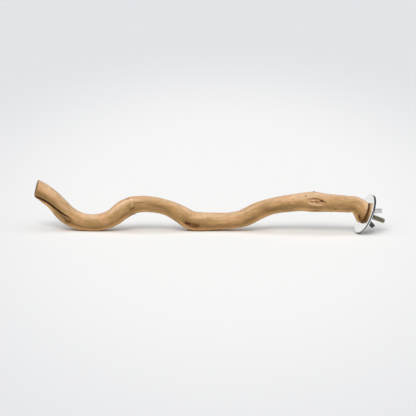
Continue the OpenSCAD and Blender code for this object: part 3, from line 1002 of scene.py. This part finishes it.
class Nodes:
    """A tree of nodes under construction, with one short method for each kind of node."""

    def __init__(self, owner, end):
        owner.use_nodes = True
        self.nodes, self.links = owner.node_tree.nodes, owner.node_tree.links
        self.end = self.nodes[end]

    def feed(self, node, inputs):
        """Gives each input of a node a value or another node's output."""
        for key, value in inputs.items():
            if isinstance(value, bpy.types.NodeSocket):
                self.links.new(value, node.inputs[key])
            else:
                node.inputs[key].default_value = value

    def node(self, kind, inputs, **settings):
        """The outputs of a new node with these inputs and settings."""
        node = self.nodes.new("ShaderNode" + kind)
        for key, value in settings.items():
            setattr(node, key, value)
        self.feed(node, inputs)
        return node.outputs

    def attribute(self, name, output="Fac"):
        return self.node("Attribute", {}, attribute_name=name)[output]

    def position(self, output="Object"):
        return self.node("TexCoord", {})[output]

    def seen(self):
        """1 for what the camera sees, and 1 for what it sees straight or in a mirror."""
        path = self.node("LightPath", {})
        camera = path["Is Camera Ray"]
        return camera, self.math("MAXIMUM", camera, path["Is Glossy Ray"])

    def noise(self, vector, cells, detail, roughness=0.5):
        """Noise with so many cells to the metre in each direction."""
        squeezed = self.node("Mapping", {"Vector": vector, "Scale": cells})["Vector"]
        inputs = {"Vector": squeezed, "Scale": 1.0, "Detail": detail, "Roughness": roughness}
        return self.node("TexNoise", inputs)["Fac"]

    def ramp(self, value, low, high, to_low=0.0, to_high=1.0):
        """A value spread from one range to another with soft ends."""
        inputs = {"Value": value, "From Min": low, "From Max": high}
        inputs |= {"To Min": to_low, "To Max": to_high}
        return self.node("MapRange", inputs, interpolation_type="SMOOTHSTEP")["Result"]

    def math(self, operation, a, b):
        return self.node("Math", {0: a, 1: b}, operation=operation)[0]

    def mix(self, share, a, b):
        return self.node("Mix", {0: share, 6: a, 7: b}, data_type="RGBA")[2]

    def bump(self, height, depth, strength, **more):
        """A bump whose full height is given in metres."""
        inputs = {"Height": height, "Distance": depth, "Strength": strength, **more}
        return self.node("Bump", inputs)["Normal"]

    def plug(self, **sockets):
        """Feeds the tree's last node. A value there is the same all over the surface."""
        for key, value in sockets.items():
            self.feed(self.end, {key.replace("_", " ").title().replace("Ior", "IOR"): value})


class Finish(Nodes):
    """A material under construction."""

    def __init__(self, name, **values):
        self.material = bpy.data.materials.new(name)
        super().__init__(self.material, "Principled BSDF")
        self.plug(**values)


# %% The wood
# The pale colour is the wood's own pale mottling, the painted light on its top and the painted
# highlights on ridges
PALE_AND_LIT, TAN, BROWN = srgb(229, 194, 157), srgb(176, 136, 84), srgb(146, 112, 64)
ROSE, OLIVE = srgb(212, 163, 119), srgb(146, 118, 68)
STREAK, PATCH = srgb(138, 100, 56), srgb(112, 80, 40)
# Knot brown and pit colours, also used for painted shade in slits, grooves, the crack and at the
# clamp end
KNOT_BROWN_AND_SHADE, PIT_AND_SHADE = srgb(112, 66, 16), srgb(54, 27, 4)
# A warm tan for the underside: painted light bounced up from the table
PAINTED_BOUNCE = srgb(220, 170, 106)
END_TAN, END_DARK = srgb(146, 106, 50), srgb(102, 72, 30)


def make_wood():
    """Colours laid over each other by noise along the fibres, then by the masks of the mesh.
    The top is painted lighter and the underside browner, as painted light and shade, with a
    warm band of painted bounced light along the bottom."""
    wood = Finish("bare_wood", specular_ior_level=0.35)
    grain, dark = wood.attribute("grain", "Vector"), wood.attribute("dark")
    ramp, times = wood.ramp, functools.partial(wood.math, "MULTIPLY")

    def noise(along, across, *settings):
        """Noise with so many cells to the metre along and across the fibres."""
        return wood.noise(grain, (along, across, across), *settings)

    drift, tint = noise(26, 90, 3), noise(34, 130, 2)
    mottle, streaks = noise(210, 420, 3, 0.6), noise(60, 700, 3, 0.6)
    fine, pores, rings = noise(190, 2200, 3, 0.65), noise(340, 4200, 1), noise(6, 1300, 2)

    # About -1 on the wood's underside and 1 on its top. It paints the top lighter and rosier
    # and the underside browner and more olive, as painted light and shade, and a warm band of
    # painted bounced light along the bottom
    painted_light_side = times(wood.node("SeparateXYZ", {"Vector": grain})["Z"], 110.0)
    drift_and_light = wood.math("ADD", painted_light_side, times(drift, 1.6))
    colour = wood.mix(ramp(drift_and_light, -0.05, 1.20), BROWN, TAN)
    for share, layer in (
        (ramp(drift_and_light, 1.10, 2.15), PALE_AND_LIT),
        # A warm band along the underside: painted bounced light
        (ramp(painted_light_side, -0.50, -0.88, 0, 0.85), PAINTED_BOUNCE),
        (times(ramp(tint, 0.48, 0.66), ramp(painted_light_side, -0.2, 0.6, 0.2, 0.7)), ROSE),
        (times(ramp(tint, 0.52, 0.36), ramp(painted_light_side, 0.75, 0.25, 0, 0.7)), OLIVE),
        (ramp(mottle, 0.50, 0.72, 0, 0.40), STREAK),
        (ramp(mottle, 0.46, 0.28, 0, 0.22), PALE_AND_LIT),
        (times(wood.attribute("brown"), ramp(streaks, 0.2, 0.6, 0.6, 1.0)), PATCH),
        (ramp(streaks, 0.50, 0.72, 0, 0.45), STREAK),
        (ramp(fine, 0.47, 0.68, 0, 0.30), STREAK),
        (ramp(pores, 0.66, 0.78, 0, 0.3), KNOT_BROWN_AND_SHADE),
        (ramp(wood.attribute("knot"), 0.10, 0.95, 0, 0.35), PATCH),
        (wood.attribute("cut"), wood.mix(ramp(rings, 0.40, 0.62), END_TAN, END_DARK)),
        (times(wood.attribute("torn"), ramp(fine, 0.3, 0.6, 0.2, 0.9)), PATCH),
        # Painted highlights on raised ridges
        (ramp(wood.attribute("pale"), 0.05, 0.9, 0, 0.8), PALE_AND_LIT),
        # Painted shade in slits, grooves, the crack and at the clamp end, with the knots' own brown
        (ramp(dark, 0.08, 0.60, 0, 0.7), KNOT_BROWN_AND_SHADE),
        (ramp(dark, 0.60, 0.95, 0, 0.95), PIT_AND_SHADE),
    ):
        colour = wood.mix(share, colour, layer)

    relief = wood.math("ADD", times(streaks, 0.7), times(fine, 0.5))
    relief = wood.math("ADD", relief, times(mottle, 0.6))
    normal = wood.bump(pores, 0.00006, 0.5, Normal=wood.bump(relief, 0.00030, 0.9))
    rough = wood.math("MAXIMUM", ramp(streaks, 0.3, 0.7, 0.50, 0.64), dark)
    wood.plug(base_color=colour, roughness=rough, normal=normal)
    return wood.material


finishes = {"bare_wood": make_wood()}

# %% [markdown]
# ## The metal finishes
#
# The washers are bright, with the faint cloudiness and grain of cheap plating. Their sheared
# rims are paler and rougher, and painted dark next to the gap between them, at the bottom and
# on the upper side of the outer one, as painted shade and dark reflections. The nut is a
# little duller, with painted shade in its bore and at the roots of its wings and a painted
# dark reflection over the lower wing, and the bolt is plain steel, with painted shade in the
# roots of its thread and a painted dark reflection along one side. All are metal shaders whose
# roughness drifts: without that drift a metal looks like plastic. What differs from place to
# place comes from the attributes of the meshes.

# %% The metals
# The dark colours of washer and nut serve real specks and painted shade and dark reflections
PLATED, RIM_SPECKS_AND_SHADE = srgb(236, 236, 234), srgb(70, 73, 78)
NUT_STEEL, NUT_SPECKS_AND_SHADE = srgb(206, 206, 204), srgb(70, 72, 70)
# The bolt's darker colours are painted shade in the thread's roots and a painted dark reflection
BOLT_STEEL, BOLT_ROOT_SHADE = srgb(214, 208, 188), srgb(140, 134, 112)
BOLT_DARK_REFLECTION = srgb(52, 48, 36)
METAL_GRAIN = 0.00001


def make_plated(name, bright, darker, smooth, coarse, sheared=False):
    """A metal with fine grain, whose roughness drifts between two values. The attribute
    shade paints it darker, as painted shade and dark reflections. If sheared, satin makes it as
    rough and pale as a cut under zinc."""
    metal = Finish(name, metallic=1.0)
    shaded = metal.attribute("shade")
    clouds, specks, marks = (
        metal.noise(metal.position(), cells, 3, roughness)
        for cells, roughness in (((180,) * 3, 0.5), ((700,) * 3, 0.7), ((900, 1300, 900), 0.6))
    )
    # Real specks, with the mesh's painted shade and dark reflections
    shade = metal.math("MAXIMUM", metal.ramp(specks, 0.42, 0.72, 0.0, 0.22), shaded)
    rough = metal.ramp(clouds, 0.35, 0.68, smooth, coarse)
    if sheared:
        satin = metal.math("SUBTRACT", metal.attribute("satin"), shaded)
        satin = metal.math("MAXIMUM", satin, 0.0)
        rough = metal.math("ADD", rough, metal.math("MULTIPLY", satin, 0.25))
        zinc = metal.math("MULTIPLY", satin, 0.75)
        metal.plug(metallic=metal.math("SUBTRACT", 1.0, zinc))
    normal = metal.bump(marks, METAL_GRAIN, 0.6)
    metal.plug(base_color=metal.mix(shade, bright, darker), roughness=rough, normal=normal)
    return metal.material


def make_bolt_steel():
    """Steel that is painted darker in the roots of the thread than on the crests, as painted
    shade, and dark along a line on the viewer's side, as a painted dark reflection. The mesh
    carries both as attributes."""
    steel = Finish("bolt_steel", metallic=1.0)
    clouds = steel.noise(steel.position(), (300, 300, 300), 3)
    reflection_share = steel.math("MULTIPLY", steel.attribute("painted_reflection"), 0.8)
    clean = steel.mix(steel.ramp(steel.attribute("crest"), 0.1, 0.9), BOLT_ROOT_SHADE, BOLT_STEEL)
    rough = steel.ramp(clouds, 0.3, 0.7, 0.22, 0.34)
    steel.plug(base_color=steel.mix(reflection_share, clean, BOLT_DARK_REFLECTION), roughness=rough)
    return steel.material


finishes["bolt_steel"] = make_bolt_steel()
finishes["plated_washer"] = make_plated("plated_washer", PLATED, RIM_SPECKS_AND_SHADE, 0.10, 0.20, True)
finishes["plated_nut"] = make_plated("plated_nut", NUT_STEEL, NUT_SPECKS_AND_SHADE, 0.20, 0.32)
print("finishes:", *finishes)

# %% [markdown]
# ## The studio
#
# The photograph was taken on a large pale table. A very wide soft light hangs above, which
# makes the wood's top light and its front darker, and a smaller one stands in front at half
# height, which throws the one shadow that is seen. Sun lamps give both without a falloff
# over the table. The table is nearly white to the camera and in reflections, and greyer to
# the light that it throws back, or it would wash out the shading underneath.

# %% The table
TABLE_R, TABLE_DEPTH, TABLE_SIDES = 7000, 4, 96
NEAR, FAR = srgb(250, 250, 249), srgb(231, 232, 235)
THROWN_BACK = srgb(240, 241, 240)
# The bright oval, a painted pool of light round the object: how it is shifted and squeezed
# into a circle, and where it starts and ends to fade, in metres
OVAL_SHIFT, OVAL_SQUEEZE = (-0.03, -0.08, 0), (1.35, 0.39, 1.0)
BRIGHT_R, DIM_R = 0.20, 0.66


def make_paper():
    """Near white around the object and darker away from it, a painted pool of light, and grey
    to every ray that isn't seen by the camera, straight or in a mirror."""
    paper = Finish("paper", roughness=0.9, specular_ior_level=0.1)
    inputs = {"Vector": paper.position(), "Location": OVAL_SHIFT, "Scale": OVAL_SQUEEZE}
    squeezed = paper.node("Mapping", inputs)[0]
    reach = paper.node("VectorMath", {0: squeezed}, operation="LENGTH")["Value"]
    shown = paper.mix(paper.ramp(reach, BRIGHT_R, DIM_R), NEAR, FAR)
    _, seen = paper.seen()
    paper.plug(base_color=paper.mix(seen, THROWN_BACK, shown))
    return paper.material


def add_table():
    """A round slab with its top at height 0."""
    rim = turned(TABLE_R, 0, full_turn(TABLE_SIDES))
    slab = np.stack([rim, rim - [0, 0, TABLE_DEPTH]])
    table = mesh_from_rings("table", slab, sharp_angle=30)
    table.data.materials.append(make_paper())
    table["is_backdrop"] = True


add_table()

# %% The lamps and the room
# Height over the table, turn round from the viewer, width of the lamp, all in degrees,
# and the light that it gives to a table under it
LAMPS = {"overhead": (66, 0, 110, 0.60), "frontal": (42, -12, 30, 0.34)}
BACKDROP, ROOM = (1.0, 1.0, 0.99, 1.0), (0.10, 0.10, 0.11, 1.0)
ROOM_LEVEL = 0.30
# Where the backdrop starts and is full, by the Y and Z of a direction
BACKDROP_Y, BACKDROP_Z = (0.0, 0.4), (0.40, 0.12)


def add_lamp(name, height, turn, width, on_table):
    """A sun lamp: light from a disc in the sky. Level 1 shows a colour facing it as it is."""
    light = bpy.data.lights.new(name, "SUN")
    light.energy = np.pi * on_table / sind(height)
    light.angle = np.radians(width)
    lamp = bpy.data.objects.new(name, light)
    lamp.rotation_euler = (np.radians(90 - height), 0, np.radians(turn))
    scene.collection.objects.link(lamp)


def add_room():
    """What surrounds the table. The camera sees a backdrop of the table's far colour, and
    mirrors see that backdrop beyond the table, and a dark room above and on this side."""
    world = bpy.data.worlds.new("room")
    room = Nodes(world, "Background")
    way = room.node("SeparateXYZ", {0: room.position("Generated")})
    beyond = room.node("MapRange", {"Value": way["Y"], 1: BACKDROP_Y[0], 2: BACKDROP_Y[1]})[0]
    low = room.node("MapRange", {"Value": way["Z"], 1: BACKDROP_Z[0], 2: BACKDROP_Z[1]})[0]
    walls = room.mix(room.math("MULTIPLY", beyond, low), ROOM, BACKDROP)
    camera, seen = room.seen()
    level = room.node("Mix", {0: seen, 2: ROOM_LEVEL, 3: 1.0})[0]
    room.plug(color=room.mix(camera, walls, FAR), strength=level)
    scene.world = world


for name, lamp in LAMPS.items():
    add_lamp(name, *lamp)
add_room()
scene.view_settings.view_transform = "Standard"
print(f"light of the lamps on the table {sum(lamp[3] for lamp in LAMPS.values()):.2f}")

# %% [markdown]
# ## Handing over
#
# Each piece rides on the body whose solid it stands for, so that it spins and slides with
# the joints, and takes the finish of its slot.

# %% Rides, stand-ins and finishes
for body, node, slot, *pieces in (
    ("perch", "branch", "bare_wood", branch),
    ("perch", "hanger_bolt", "bolt_steel", bolt),
    ("inner_washer", "inner_washer", "plated_washer", inner),
    ("outer_washer", "outer_washer", "plated_washer", outer),
    ("wing_nut", "wing_nut", "plated_nut", hub, *wings),
):
    for piece in pieces:
        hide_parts(node)
        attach(piece, body)
        piece.data.materials.append(finishes[slot])

boxes = {"cad": cad_box, "visual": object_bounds()}
sizes = {key: [[float(c) for c in end] for end in box] for key, box in boxes.items()}
for key, (low, high) in sizes.items():
    print(key, np.round(np.subtract(high, low) / MM, 2), "mm")
